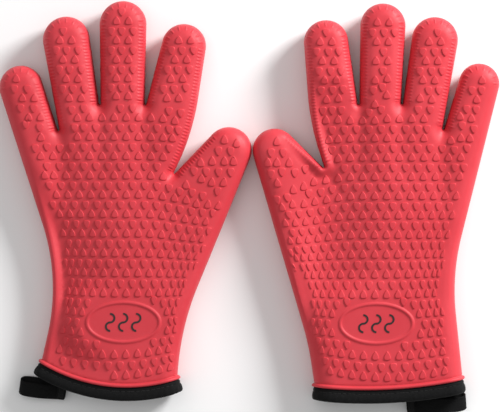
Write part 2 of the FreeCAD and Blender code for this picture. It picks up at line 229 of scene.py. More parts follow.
class Segment:
    """A straight or round stretch of the outline. Bulge 1 is convex, -1 hollow, 0 straight."""

    def __init__(self, bulge, centre, radius, n0, n1, p0, p1, role, turn):
        self.bulge, self.centre, self.radius = bulge, centre, radius
        self.n0, self.n1, self.p0, self.p1 = n0, n1, p0, p1
        self.role = role
        self.turn = turn
        self.split = None

    def arc(self):
        """Angle of the first normal, and the signed turn from it to the last one."""
        first = math.atan2(self.n0[1], self.n0[0])
        sweep = (math.atan2(self.n1[1], self.n1[0]) - first) % (2.0 * math.pi)
        return first, sweep - 2.0 * math.pi if self.turn * self.bulge < 0 else sweep

    def at(self, t):
        """Point and outward normal at a share of the length."""
        if self.bulge == 0:
            return self.p0 + (self.p1 - self.p0) * t, self.n0
        first, sweep = self.arc()
        angle = first + sweep * t
        normal = np.array((math.cos(angle), math.sin(angle)))
        return self.centre + normal * self.bulge * self.radius, normal

    def length(self, inset):
        if self.bulge == 0:
            return float(np.linalg.norm(self.p1 - self.p0))
        return abs(self.arc()[1]) * (self.radius - self.bulge * inset)


def outline_segments(spec):
    """All stretches in order, from the little-finger side of the cuff to the thumb side."""
    side = spec["thumb_side"]
    turn = -side                    # a convex arc turns clockwise on the left glove
    lines = [line_through(*spec["little_side"])]
    corners = []
    gap = ("waist", spec["little_waist_radius"], -1)
    for name in DIGITS:
        near, far = digit_edges(spec["digits"][name], side)
        corners.append((gap, None))
        lines.append(near)
        corners.append((("tip", spec["digits"][name][2], 1), name))
        lines.append(far)
        gap = ("crotch", CROTCH_RADIUS, -1)
        if name == "index":
            corners.append((("web", spec["web_radius"], 1), None))
            lines.append(line_through(*spec["web_edge"]))
    corners.append((("waist", spec["thumb_waist_radius"], -1), None))
    lines.append(line_through(*spec["thumb_side_edge"]))

    segments = []
    here = None
    owners = line_owners(corners)
    for i, ((role, radius, bulge), name) in enumerate(corners):
        first, second = lines[i], lines[i + 1]
        if name:
            centre = np.array(spec["digits"][name][:2])
        else:
            centre = arc_centre(first, second, -bulge * radius)
        arrive = centre + first[0] * bulge * radius
        leave = centre + second[0] * bulge * radius
        if here is not None:
            segments.append(Segment(0, None, 0.0, first[0], first[0], here, arrive, owners[i], turn))
        segments.append(Segment(bulge, centre, radius, first[0], second[0], arrive, leave,
                                (role, name), turn))
        here = leave
    start = hem_point(spec, lines[0], 0.0)
    end = hem_point(spec, lines[-1], 0.0)
    first = Segment(0, None, 0.0, lines[0][0], lines[0][0], start, segments[0].p0, ("cuff", None), turn)
    last = Segment(0, None, 0.0, lines[-1][0], lines[-1][0], here, end, ("cuff", None), turn)
    return [first] + segments + [last]


def line_owners(corners):
    """Which digit each straight edge belongs to, and whether it comes before or after its tip."""
    owners = [("cuff", None)]
    for i in range(1, len(corners)):
        if corners[i][1]:
            owners.append(("before", corners[i][1]))
        elif corners[i - 1][1]:
            owners.append(("after", corners[i - 1][1]))
        else:
            owners.append(("web", "index"))
    return owners


def hem_point(spec, line, inset):
    """Where an edge line, moved inwards by inset, meets the hem of the skin above its bead."""
    normal, distance = line
    cx, cy, radius = spec["hem"]
    radius -= BEAD_HEIGHT
    along = np.array((-normal[1], normal[0]))
    if along[1] > 0:
        along = -along
    foot = normal * (distance - inset) - np.array((cx, cy))
    b = foot @ along
    c = foot @ foot - radius * radius
    return foot + along * (-b + math.sqrt(b * b - c)) + np.array((cx, cy))


def split_at_cuts(spec, segments):
    """Break the stretches where the skin pieces of each digit meet the palm piece."""
    webs = [s.centre for s in segments if s.role[0] == "crotch"]
    cuts = {}
    for order, name in enumerate(DIGITS):
        axis = polar(spec["digits"][name][3])
        beside = webs[max(0, order - 1):order + 1]
        rise = max(float(web @ axis) for web in beside)
        level = rise + CUT_ABOVE_WEB + CROTCH_RADIUS
        cuts[name] = {"axis": axis, "level": level, "hinge": rise + HINGE_RISE}
        for step in (-1, 1):
            tip = next(i for i, s in enumerate(segments) if s.role == ("tip", name))
            i = tip + step
            while (segments[i].at(0)[0] @ axis - level) * (segments[i].at(1)[0] @ axis - level) > 0:
                i += step
            segments[i:i + 1] = halves(segments[i], axis, level)
    return cuts


def halves(segment, axis, level):
    """A stretch broken where it crosses a level along an axis, found by halving."""
    low, high = 0.0, 1.0
    rising = segment.at(1)[0] @ axis > segment.at(0)[0] @ axis
    for _ in range(50):
        middle = (low + high) / 2.0
        if (segment.at(middle)[0] @ axis > level) == rising:
            high = middle
        else:
            low = middle
    point, normal = segment.at(low)
    parts = []
    for n0, n1, p0, p1 in ((segment.n0, normal, segment.p0, point), (normal, segment.n1, point, segment.p1)):
        parts.append(Segment(segment.bulge, segment.centre, segment.radius, n0, n1, p0, p1,
                             segment.role, segment.turn))
    parts[1].split = "start"
    return parts


def has_ribs(role):
    """Ribs run along every digit edge but the outer ones of the little finger and the thumb."""
    kind, name = role
    if kind in ("before", "after"):
        return (kind, name) not in (("before", "little"), ("after", "thumb"))
    return kind == "web"


def edge_room(spec, points):
    """Share of the edge band's width, which narrows down the thumb side of the cuff."""
    thumb_side = (points[:, 0] - spec["oval_centre"][0]) * spec["thumb_side"] > 0
    return 1.0 - spec["narrow_band"] * thumb_side * smoothstep((BAND_TOP - points[:, 1]) / BAND_RUN)


class Outline:
    """Stations along the outline: points, normals, rib strengths, and where each digit begins and ends."""

    def __init__(self, spec, spacing, ribs):
        segments = outline_segments(spec)
        self.cuts = split_at_cuts(spec, segments)
        points, normals, rib, breaks = [], [], [], []
        for segment in segments:
            longest = max(segment.length(0.0), segment.length(BAND_RINGS[-1]))
            ribbed = ribs and has_ribs(segment.role)
            ticked = ribs and segment.role[0] == "tip" and segment.role[1] != "thumb"
            if ribbed or ticked:        # four stations a rib, two of them raised
                count = 4 * max(1, round(segment.length(0.0) / RIB_PITCH))
            else:
                count = max(2, math.ceil(longest / spacing))
            if segment.split:
                breaks.append(len(points))
            for i in range(count):
                point, normal = segment.at(i / count)
                points.append(point)
                normals.append(normal)
                rib.append(1.0 if ribbed and i % 4 in (2, 3) else 0.0)
            if ticked:
                every = round(4.0 * TICK_PITCH / RIB_PITCH)
                for i in range(count):
                    rib[i - count] = 1.0 if i % every in (every // 2, every // 2 + 1) else 0.0
        point, normal = segments[-1].at(1.0)
        self.points = np.array(points + [point])
        self.normals = np.array(normals + [normal])
        self.rib = np.array(rib + [0.0])
        self.room = edge_room(spec, self.points)
        self.spans = dict(zip(DIGITS, zip(breaks[::2], breaks[1::2])))
        self.first = (segments[0], count_of(segments[0], spacing))
        self.last = (segments[-1], count_of(segments[-1], spacing))
        self.spec = spec

    def ring(self, inset):
        """The outline moved inwards, with both ends slid along to the hem."""
        inset = inset * self.room
        ring = self.points - self.normals * inset[:, None]
        for (segment, count), at_start in ((self.first, True), (self.last, False)):
            line = (segment.n0, segment.n0 @ segment.p0)
            end = 0 if at_start else -1
            slide = hem_point(self.spec, line, inset[end]) - ring[end]
            share = np.linspace(1.0, 0.0, count + 1)[:, None]
            if at_start:
                ring[:count + 1] += slide * share
            else:
                ring[-count - 1:] += slide * share[::-1]
        return ring


def count_of(segment, spacing):
    return max(2, math.ceil(segment.length(0.0) / spacing))


# ---- the smooth surface below the relief ----
def tree_of(places):
    """Search tree over places in the plan."""
    tree = KDTree(len(places))
    for i, place in enumerate(places):
        tree.insert((*place, 0.0), i)
    tree.balance()
    return tree


def away_from(xy, places, gap):
    """The places of xy that keep a gap from all of some others."""
    tree = tree_of(places)
    return xy[np.array([tree.find((*place, 0.0))[2] > gap for place in xy])]


def oval_reach(spec, xy, margin):
    """Distance from the oval's centre, where 1 is its frame's outside and a margin round it."""
    offset = xy - np.array(spec["oval_centre"])
    return np.linalg.norm(offset / (np.array(OVAL_HALF) + margin), axis=1)


def profile(inset):
    """Share of the full height, and outward lean of the surface, at a distance from the outline."""
    short = np.clip(1.0 - np.asarray(inset, float) / EDGE_ROUND, 0.0, 1.0)
    share = (1.0 - short ** FULLNESS) ** (1.0 / FULLNESS)
    out, up = short ** (FULLNESS - 1.0), share ** (FULLNESS - 1.0)
    return share, out / np.hypot(out, up)


class Surface:
    """The smooth upper or lower surface of one glove, without relief."""

    def __init__(self, spec):
        self.spec = spec
        fine = Outline(spec, FINE_SPACING, False)
        points = list(fine.points)
        normals = list(fine.normals)
        for end in (0, -1):
            normal = fine.normals[end]
            along = np.array((-normal[1], normal[0]))
            along = -along if along[1] > 0 else along
            for step in range(1, PAST_HEM):     # on past the hem, for the places beside it
                points.append(fine.points[end] + along * step * FINE_SPACING)
                normals.append(normal)
        self.points = np.array(points)
        self.normals = np.array(normals)
        self.tree = tree_of(points)
        self.webs = [(s.centre, -s.at(0.5)[1]) for s in outline_segments(spec) if s.role[0] == "crotch"]
        self.edges = self.side_edges(fine)

    def side_edges(self, fine):
        """The outline's little-finger side and thumb side, as x over y, from the cuff up."""
        tips = []
        for name in ("little", "thumb"):
            x, y, radius, direction, _ = self.spec["digits"][name]
            on_tip = np.linalg.norm(fine.points - (x, y), axis=1) <= radius + 1.0
            tips.append(int(np.argmax(np.where(on_tip, fine.points @ polar(direction), -np.inf))))
        edges = (fine.points[:tips[0]], fine.points[tips[1]:][::-1])
        return [(np.maximum.accumulate(edge[:, 1]), edge[:, 0]) for edge in edges]

    def middle_and_half(self, y):
        little, thumb = (np.interp(y, ys, xs) for ys, xs in self.edges)
        return (little + thumb) / 2.0, np.abs(thumb - little) / 2.0

    def warp(self, xy):
        """Pattern places on the flat to their places on the rounded cuff and thumb base."""
        x, y = xy[:, 0], xy[:, 1]
        middle, half = self.middle_and_half(y)
        release = RELEASE_SHARE * np.clip((RELEASE_TOP - y) / RELEASE_RUN, 0.0, 1.0)
        strength = np.clip((SQUEEZE_TOP - y) / SQUEEZE_RUN, 0.0, 1.0) * (1.0 - release)
        angle = np.clip((x - middle) / (half * SQUEEZE), -WIDEST_ANGLE, WIDEST_ANGLE)
        squeezed = middle + half * SQUEEZE * np.sin(angle * 0.95)
        bent_x = x + (squeezed - x) * strength
        share = np.clip((bent_x - middle) / half, -1.0, 1.0)
        sag = HEM_SAG * np.clip(-y / SAG_FROM_CENTRE, 0.0, 1.0) ** 2 * (0.7 - share ** 2)
        to_thumb = (bent_x - middle) * self.spec["thumb_side"]
        droop = THUMB_DROOP * smoothstep((to_thumb - DROOP_START) / DROOP_RUN)
        near = np.exp(-((y - DROOP_CENTRE_Y) / DROOP_SPREAD) ** 2)
        return np.column_stack((bent_x, y - sag - droop * near))

    def nearest(self, xy):
        """Distance to the outline, the outline's normal there, and whether each place lies past it."""
        found = [self.tree.find((*place, 0.0)) for place in xy]
        index = np.array([f[1] for f in found])
        beyond = ((xy - self.points[index]) * self.normals[index]).sum(axis=1) > 0.0
        return np.array([f[2] for f in found]), self.normals[index], beyond

    def swell(self, xy, inset):
        """Soft dips and folds of the empty glove, in millimetres."""
        dips = np.zeros(len(xy))
        folds = list(self.spec["folds"])
        for (x, y), _ in self.webs[:3]:         # those between two fingers
            end = (x * 0.96 - 4.0 * self.spec["thumb_side"], y - WEB_FOLD_LENGTH)
            folds.append(((x, y - 4.0), end, WEB_FOLD_WIDTH, WEB_FOLD_WIDTH, WEB_FOLD_DEPTH))
        for start, end, left, right, depth in folds:
            run = np.array(end) - start
            share = (xy - start) @ run / (run @ run)
            away = ((xy - start) @ np.array((-run[1], run[0]))) / np.linalg.norm(run)
            width = np.where(away > 0, right, left)
            fade = np.sin(math.pi * np.clip(share * 0.8 + 0.1, 0.0, 1.0)) ** 0.7
            dips -= depth * fade * np.exp(-(away / width) ** 2)
        away_from_oval = smoothstep((oval_reach(self.spec, xy, OVAL_CALM) - 0.95) / 0.85)
        return dips * smoothstep((inset - 1.0) / 9.0) * away_from_oval

    def slack(self, xy):
        """How much wider the edge's round is where the empty cuff has sunk towards -X."""
        middle, half = self.middle_and_half(xy[:, 1])
        sideways = np.clip((middle - xy[:, 0]) / half, 0.0, 1.0)
        return 1.0 + self.spec["slack"] * sideways * smoothstep((SLACK_TOP - xy[:, 1]) / SLACK_RUN)

    def crease(self, xy, inset):
        """Depth of the short creases that run on into the palm from each web."""
        depth = np.zeros(len(xy))
        for web, inwards in self.webs:
            away = xy - web
            along = away @ inwards
            across = away @ np.array((-inwards[1], inwards[0]))
            fade = np.exp(-np.clip(along, 0.0, None) / CREASE_LENGTH) * (along > -2.0)
            depth = np.maximum(depth, CREASE_DEPTH * fade * np.exp(-(across / CREASE_WIDTH) ** 2))
        return depth * np.clip(inset / 5.0, 0.0, 1.0)

    def lift(self, xy, inset, normals, upper):
        """Points and unit normals of the surface over places in the plan."""
        slack = self.slack(xy) if upper else 1.0
        share, lean = profile(inset / slack)
        lean = lean / slack / np.hypot(lean / slack, np.sqrt(1.0 - lean * lean))
        height = HALF - FLAT_SIDE
        if upper:
            z = HALF + FLAT_SIDE + height * share + self.swell(xy, inset) - self.crease(xy, inset)
        else:
            swell = UNDERSIDE_SWELL * self.swell(xy, inset)
            z = HALF - FLAT_SIDE - (height - DROP_HEIGHT + swell) * share
        points = np.column_stack((xy, z))
        up = np.sqrt(1.0 - lean * lean) * (1.0 if upper else -1.0)
        unit = np.column_stack((normals * lean[:, None], up))
        return points, unit


# ---- drops ----
def drop_shape():
    """Outline of a raised drop that points up, about its centre."""
    corners = [(-3.1, -1.8), (-2.1, -3.1), (2.1, -3.1), (3.1, -1.8),
               (2.4, 0.8), (0.5, 3.7), (-0.5, 3.7), (-2.4, 0.8)]
    shape = []
    for a, b in zip(corners, corners[1:] + corners[:1]):
        a, b = np.array(a), np.array(b)
        shape += [a * 0.75 + b * 0.25, a * 0.25 + b * 0.75]
    return np.array(shape)


DROP = drop_shape()
DROP_RINGS = ((1.1, 0.0), (1.02, 0.14), (0.94, 0.86), (0.84, 1.0), (0.4, 1.0))     # size, height
SIDE_MARGIN = 10.0          # smooth strip down the little-finger side
EDGE_MARGIN = 5.95
CUT_MARGIN = 4.0            # from a row's centre to the level where skin pieces meet
LINE_MARGIN = 0.3           # from a drop's rim to the line where they meet
CUT_REACH = 26.0            # rows this near the meeting line close up to leave its margin free
CUT_SIDEWAYS = 9.0
OVAL_MARGIN = 1.2
HEM_MARGIN = 1.3
DROP_SPACING = 6.3
GAP_SPACING = 7.6           # room that a gap between rows needs before one more drop fills it
GAP_STEPS = ((0.0, 0.0), (-2.6, 0.0), (2.6, 0.0), (0.0, 2.6), (0.0, -2.6), (5.2, 0.0))
USUAL_WIDTH = 5.8           # spacing sideways shrinks with a drop narrower than this
NARROWEST_DROP = 2.9
ROWS, COLUMNS = range(-6, 17), range(-14, 15)           # enough to cover a glove
# Columns across a finger, for drops that point up (1) and down (-1).
FINGER_COLUMNS = {1: (-4.7, 5.4), -1: (-9.4, -0.5, 9.4)}
LITTLE_COLUMNS = {1: (-0.8, 9.2), -1: (-5.2, 5.6)}


def row_list(spec):
    """Rows of drops: y, 1 or -1 for pointing up or down, and the row's sideways shift in pitches."""
    rows = []
    for number in ROWS:
        y = spec["rows"][1] - number * ROW_PERIOD
        rows.append((y, -1, 0.0))
        rows.append((y - ROW_SHIFT, 1, 0.5))
    return rows


def on_digit(spec, cuts, xy):
    """Name of the digit that a place belongs to, or None for the palm."""
    for name in DIGITS:
        x, y, radius, _, lean = spec["digits"][name]
        axis = cuts[name]["axis"]
        offset = xy - np.array((x, y))
        along = xy @ axis - cuts[name]["level"]
        across = abs(offset[0] * axis[1] - offset[1] * axis[0])
        widest = radius + max(0.0, -(offset @ axis)) * math.sin(math.radians(lean)) + 1.0
        if along > 0 and across < widest:
            return name
    return None


def drop_places(spec, surface, outline):
    """Centre and outline of every drop that fits on a glove."""
    cuts = outline.cuts
    inner = outline.ring(BAND_RINGS[-1])
    seams = [(inner[a], inner[b]) for a, b in outline.spans.values()]
    candidates = []
    for y, points_up, shift in row_list(spec):
        for number in COLUMNS:
            x = spec["rows"][0] + (number + shift) * DROP_PITCH
            candidates.append((np.array((x, y)), points_up, None))
        for name in FINGERS:
            tip_x, tip_y, _, direction, _ = spec["digits"][name]
            axis_x = tip_x + (y - tip_y) / math.tan(math.radians(direction))
            for column in (LITTLE_COLUMNS if name == "little" else FINGER_COLUMNS)[points_up]:
                centre = np.array((axis_x + column * spec["thumb_side"], y))
                candidates.append((centre, points_up, name))
    gaps = [(centre + np.array(step), points_up, name) for centre, points_up, name in candidates
            for step in GAP_STEPS]
    places = []
    for number, (centre, points_up, name) in enumerate(candidates + gaps):
        shape = DROP * (1.0, points_up)
        if name is None:
            bent = surface.warp(np.vstack((centre, shape + centre)))
            centre, shape = bent[0], bent[1:] - bent[0]
        owner = on_digit(spec, cuts, centre)
        if owner != name and (name, owner) != (None, "thumb"):
            continue
        centre = clear_of_lines(seams, clear_of_cuts(spec, cuts, centre, owner), shape)
        apart = DROP_SPACING if number < len(candidates) else GAP_SPACING
        others = np.array([place[0] for place in places] or [(1e3, 1e3)])
        away = (centre - others) / (np.ptp(shape[:, 0]) / USUAL_WIDTH, 1.0)
        if np.hypot(away[:, 0], away[:, 1]).min() < apart:
            continue
        if drop_fits(spec, surface, centre + shape * DROP_RINGS[0][0], owner):
            places.append((centre, shape))
    return places


def drop_fits(spec, surface, shape, name):
    """Whether a drop stays inside the outline's margins and off the oval and the hem."""
    inset, normals, beyond = surface.nearest(shape)
    crowded = inset < EDGE_MARGIN * edge_room(spec, shape)
    if beyond.any() or crowded.any() or np.ptp(shape[:, 0]) < NARROWEST_DROP:
        return False
    on_little_side = normals[:, 0].mean() * spec["thumb_side"] < -0.5 and name in (None, "little")
    if on_little_side and inset.min() < SIDE_MARGIN:
        return False
    return clear_of_features(spec, shape)


def clear_of_cuts(spec, cuts, centre, name):
    """Close up the rows a little on both sides of the line where skin pieces meet."""
    for digit in DIGITS:
        axis, level = cuts[digit]["axis"], cuts[digit]["level"]
        x, y = spec["digits"][digit][:2]
        across = abs((centre - np.array((x, y))) @ np.array((axis[1], -axis[0])))
        if across > spec["digits"][digit][2] + CUT_SIDEWAYS:
            continue
        sign = 1.0 if name == digit else -1.0
        along = (centre @ axis - level) * sign
        heights = np.array([row[0] for row in row_list(spec)])
        rows = (centre[0] * axis[0] + heights * axis[1] - level) * sign
        lacking = CUT_MARGIN - min(rows[rows > 0.0].min(), abs(along))
        if lacking > 0.0 and along < CUT_REACH:
            centre = centre + axis * sign * lacking * (1.0 - max(along, 0.0) / CUT_REACH)
    return centre


def clear_of_lines(seams, centre, shape):
    """Move a drop that straddles a meeting line off it."""
    for start, end in seams:
        run = (end - start) / np.linalg.norm(end - start)
        normal = np.array((-run[1], run[0]))
        rim = centre + shape * DROP_RINGS[0][0] - start
        along, away = rim @ run, rim @ normal
        if along.max() < 0.0 or along.min() > (end - start) @ run:
            continue
        if away.min() < LINE_MARGIN and away.max() > -LINE_MARGIN:
            above = (centre - start) @ normal > 0.0
            shift = LINE_MARGIN - away.min() if above else -LINE_MARGIN - away.max()
            centre = centre + normal * shift
    return centre


def above_hem(spec, xy, margin):
    """Which places lie on the hand's side of the hem's bead, with a margin."""
    x, y, radius = spec["hem"]
    reach = np.hypot(xy[:, 0] - x, xy[:, 1] - y)
    return (xy[:, 1] > y) | (reach < radius - BEAD_HEIGHT - margin)


def clear_of_features(spec, shape):
    """Whether a drop misses the oval frame and the hem."""
    return oval_reach(spec, shape, OVAL_MARGIN).min() > 1.0 and above_hem(spec, shape, HEM_MARGIN).all()


# ---- sheets: one side of a glove's skin ----
def chain(start, end, count):
    """Places between two ends, both left out."""
    share = np.arange(1, count) / count
    return start + (end - start) * share[:, None]


def hem_chain(spec, start, end, count):
    """Places along the hem's arc between two ends, both left out."""
    cx, cy, radius = spec["hem"]
    xs = chain(start, end, count)[:, 0]
    radius -= BEAD_HEIGHT
    return np.column_stack((xs, cy - np.sqrt(radius * radius - (xs - cx) ** 2)))


class Plan:
    """Triangulated plan of one side: ring points, then everything inside the last ring."""

    def __init__(self, spec, surface, outline, spacing, drops, oval):
        self.spec, self.outline = spec, outline
        count = len(outline.points)
        self.stations = count
        self.rings = [outline.ring(d) for d in BAND_RINGS]
        inner = self.rings[-1]
        places = [inner]
        edges = [(i, i + 1) for i in range(count - 1)]
        self.relief = [np.zeros(count)]

        def add(points, closed, relief, ends=None):
            """Add a chain of points at one height, joined to each other and to two earlier ends."""
            base = sum(len(p) for p in places)
            places.append(points)
            self.relief.append(np.full(len(points), relief))
            ids = list(range(base, base + len(points)))
            if ends:
                ids = [ends[0]] + ids + [ends[1]]
            edges.extend(zip(ids, ids[1:]))
            if closed:
                edges.append((ids[-1], ids[0]))
            return ids

        width = abs(inner[0][0] - inner[-1][0])
        hem = hem_chain(spec, inner[0], inner[-1], round(width / FILL_SPACING))
        self.chains = {"hem": add(hem, False, 0.0, (0, count - 1))}
        for name, (a, b) in outline.spans.items():
            line = chain(inner[a], inner[b], int(spec["digits"][name][2] / CUT_SPACING))
            self.chains[name] = add(line, False, 0.0, (a, b))
        if oval:
            self.add_oval(add)
        barrier = np.vstack(places[1:])
        for centre, shape in drops:
            for scale, height in DROP_RINGS[:-1]:
                add(shape * scale + centre, True, height * DROP_HEIGHT)
            scale, height = DROP_RINGS[-1]      # the top's inside needs fewer points
            add(shape[::2] * scale + centre, False, height * DROP_HEIGHT)
            add(centre[None, :], False, DROP_HEIGHT)
        fill = self.fill_points(surface, spacing, drops, barrier, oval)
        places.append(fill)
        self.relief.append(np.zeros(len(fill)))
        self.triangulate(np.vstack(places), edges)

    def add_oval(self, add):
        """Raised frame of the oval."""
        centre = np.array(self.spec["oval_centre"])
        angles = np.linspace(0.0, 2.0 * math.pi, OVAL_STEPS, endpoint=False)
        circle = np.column_stack((np.cos(angles), np.sin(angles)))
        for shrink, height in OVAL_RINGS:
            add(centre + circle * (np.array(OVAL_HALF) - shrink), True, height * OVAL_HEIGHT)

    def fill_points(self, surface, spacing, drops, barrier, oval):
        """Even triangular grid between the features."""
        low, high = self.rings[-1].min(axis=0), self.rings[-1].max(axis=0)
        rows = np.arange(low[1] - 8.0, high[1], spacing * 0.866)       # rows of even triangles
        grid = []
        for number, y in enumerate(rows):
            xs = np.arange(low[0] + (number % 2) * spacing / 2.0, high[0], spacing)
            grid.append(np.column_stack((xs, np.full(len(xs), y))))
        grid = np.vstack(grid)
        grid = grid[above_hem(self.spec, grid, 1.0)]
        inset, _, beyond = surface.nearest(grid)
        band = BAND_RINGS[-1] * edge_room(self.spec, grid)
        grid = grid[~beyond & (inset > band + 0.5 * spacing)]
        if oval:
            middle, half_width = OVAL_FRAME
            grid = grid[np.abs(oval_reach(self.spec, grid, 0.0) - middle) > half_width]
        rims = [shape * DROP_RINGS[0][0] + centre for centre, shape in drops]
        grid = away_from(grid, np.vstack([barrier] + rims), BARRIER_GAP * spacing)
        if drops:
            grid = away_from(grid, [centre for centre, _ in drops], DROP_CLEARANCE)
        return grid

    def triangulate(self, places, edges):
        """Faces between the edges, and each place's index and height among the faces' points."""
        found = delaunay_2d_cdt([Vector(p) for p in places], edges, [], 1, 1e-6)
        out_places, _, faces, origins = found[:4]
        self.places = np.array([(p.x, p.y) for p in out_places])
        relief = np.concatenate(self.relief)
        self.height = np.zeros(len(self.places))
        self.index = np.zeros(len(places), int)
        for i, origin in enumerate(origins):
            for source in origin:
                self.index[source] = i
                self.height[i] = max(self.height[i], relief[source])
        self.triangles = np.array(faces, int)


class Skin:
    """One smooth sheet round a whole glove, open at the hem, with a named owner for each face."""

    def __init__(self, spec, surface, outline, fill, drops, oval):
        self.spec, self.outline = spec, outline
        self.points, self.normals, self.relief = [], [], []
        self.faces, self.owners = [], []
        self.base = 0
        sides = []
        for upper in (True, False):
            plan = Plan(spec, surface, outline, fill, drops, oval and upper)
            sides.append(self.add_side(surface, plan, upper))
        self.add_parting(*sides)
        self.loops = {name: self.closed_loop(sides, name) for name in ("hem",) + DIGITS}
        self.points = np.vstack(self.points)
        self.normals = np.vstack(self.normals)
        self.relief = np.concatenate(self.relief)

    def at_depth(self, depth):
        return self.points - self.normals * depth

    def with_relief(self):
        return self.points + self.normals * self.relief[:, None]

    def add_side(self, surface, plan, upper):
        """One side's edge rings and inside; returns what finds its vertices again."""
        count, rings = plan.stations, len(BAND_RINGS)
        base = self.base
        for k, ring in enumerate(plan.rings[:-1]):
            inset = BAND_RINGS[k] * self.outline.room
            self.add_points(*surface.lift(ring, inset, self.outline.normals, upper),
                            self.outline.rib * RIB_RINGS[k] * RIB_HEIGHT)
        inset, outward, _ = surface.nearest(plan.places)
        inset[plan.index[:count]] = BAND_RINGS[-1] * self.outline.room
        outward[plan.index[:count]] = self.outline.normals
        self.add_points(*surface.lift(plan.places, inset, outward, upper), plan.height)
        start = base + (rings - 1) * count

        def at(k, i):
            return base + k * count + i if k < rings - 1 else start + int(plan.index[i])

        owner = self.station_owners(count)
        forward = upper == (self.spec["thumb_side"] < 0)
        for k in range(rings - 1):
            for i in range(count - 1):
                quad = (at(k, i), at(k, i + 1), at(k + 1, i + 1), at(k + 1, i))
                self.add_face(quad if forward else quad[::-1], owner[i])
        self.add_inside(plan, start, upper)
        self.base = start + len(plan.places)
        return {"at": at, "plan": plan, "start": start}

    def add_points(self, points, normals, relief):
        self.points.append(points)
        self.normals.append(normals)
        self.relief.append(relief)

    def station_owners(self, count):
        """Name of the piece that each stretch of the outline belongs to."""
        owner = ["palm"] * count
        for name, (a, b) in self.outline.spans.items():
            owner[a:b] = [name] * (b - a)
        return owner

    def add_inside(self, plan, start, upper):
        """The triangles inside the last ring, each given to a digit or to the palm."""
        middle = plan.places[plan.triangles].mean(axis=1)
        owners = np.full(len(middle), "palm", object)
        inner = plan.rings[-1]
        for name, (a, b) in self.outline.spans.items():
            x, y, radius, direction, lean = self.spec["digits"][name]
            axis = polar(direction)
            chord = inner[b] - inner[a]
            across = np.array((-chord[1], chord[0]))
            across = across if across @ axis > 0 else -across
            beyond = (middle - inner[a]) @ across > 0
            offset = middle - np.array((x, y))
            lateral = np.abs(offset @ np.array((axis[1], -axis[0])))
            back = np.clip(-(offset @ axis), 0.0, None)
            near = lateral < radius + back * math.sin(math.radians(lean))
            owners[beyond & near] = name
        corner = plan.places[plan.triangles]
        u, v = corner[:, 1] - corner[:, 0], corner[:, 2] - corner[:, 0]
        facing_up = u[:, 0] * v[:, 1] - u[:, 1] * v[:, 0] > 0
        for triangle, owner, up in zip((plan.triangles + start).tolist(), owners, facing_up):
            self.add_face(triangle if up == upper else triangle[::-1], owner)

    def add_face(self, face, owner):
        self.faces.append(face)
        self.owners.append(owner)

    def add_parting(self, top, bottom):
        """Upright band round the silhouette, with the mould's parting line."""
        count = top["plan"].stations
        ring = self.outline.ring(-PARTING_LINE)
        self.parting = start = self.base
        self.add_points(np.column_stack((ring, np.full(count, HALF))),
                        np.column_stack((self.outline.normals, np.zeros(count))), np.zeros(count))
        self.base += count
        owner = self.station_owners(count)
        for i in range(count - 1):
            middle = (start + i, start + i + 1)
            above = (top["at"](0, i), top["at"](0, i + 1))
            below = (bottom["at"](0, i), bottom["at"](0, i + 1))
            for (a, b), (d, c) in ((above, middle), (middle, below)):
                quad = (a, b, c, d)
                self.add_face(quad if self.spec["thumb_side"] > 0 else quad[::-1], owner[i])

    def closed_loop(self, sides, name):
        """Vertices round the hem or a cut: along the back, then along the palm."""
        a, b = self.outline.spans.get(name, (0, len(self.outline.points) - 1))
        loop = []
        for side, first, last in ((sides[0], a, b), (sides[1], b, a)):
            plan = side["plan"]
            across = [side["start"] + int(plan.index[i]) for i in plan.chains[name][1:-1]]
            rings = range(len(BAND_RINGS))
            loop += [side["at"](k, first) for k in rings]
            loop += across if first == a else across[::-1]
            loop += [side["at"](k, last) for k in reversed(rings)]
            loop.append(self.parting + last)
        return loop


# ---- closed pieces from two sheets ----
def vertex_normals(points, faces):
    """Unit normals at the points, weighted by the areas of their faces."""
    total = np.zeros((len(points), 3))
    for size in (3, 4):
        group = np.array([f for f in faces if len(f) == size])
        if len(group) == 0:
            continue
        p = points[group]
        if size == 3:
            area = np.cross(p[:, 1] - p[:, 0], p[:, 2] - p[:, 0])
        else:
            area = np.cross(p[:, 2] - p[:, 0], p[:, 3] - p[:, 1])
        for k in range(size):
            np.add.at(total, group[:, k], area)
    length = np.linalg.norm(total, axis=1)
    return total / np.where(length > 0, length, 1.0)[:, None]


def strip(first, second, points, towards):
    """Quads between two closed loops of equal length, facing a direction or directions."""
    count = len(first)
    quads = [(first[i], first[(i + 1) % count], second[(i + 1) % count], second[i]) for i in range(count)]
    p = points[np.array(quads)]
    area = np.cross(p[:, 2] - p[:, 0], p[:, 3] - p[:, 1])
    return quads if (area * towards).sum() > 0 else [q[::-1] for q in quads]


def hem_outward(spec, points):
    """Unit direction away from the glove at its hem, in the plan."""
    away = points[:, :2] - np.array(spec["hem"][:2])
    away /= np.linalg.norm(away, axis=1)[:, None]
    return np.column_stack((away, np.zeros(len(points))))


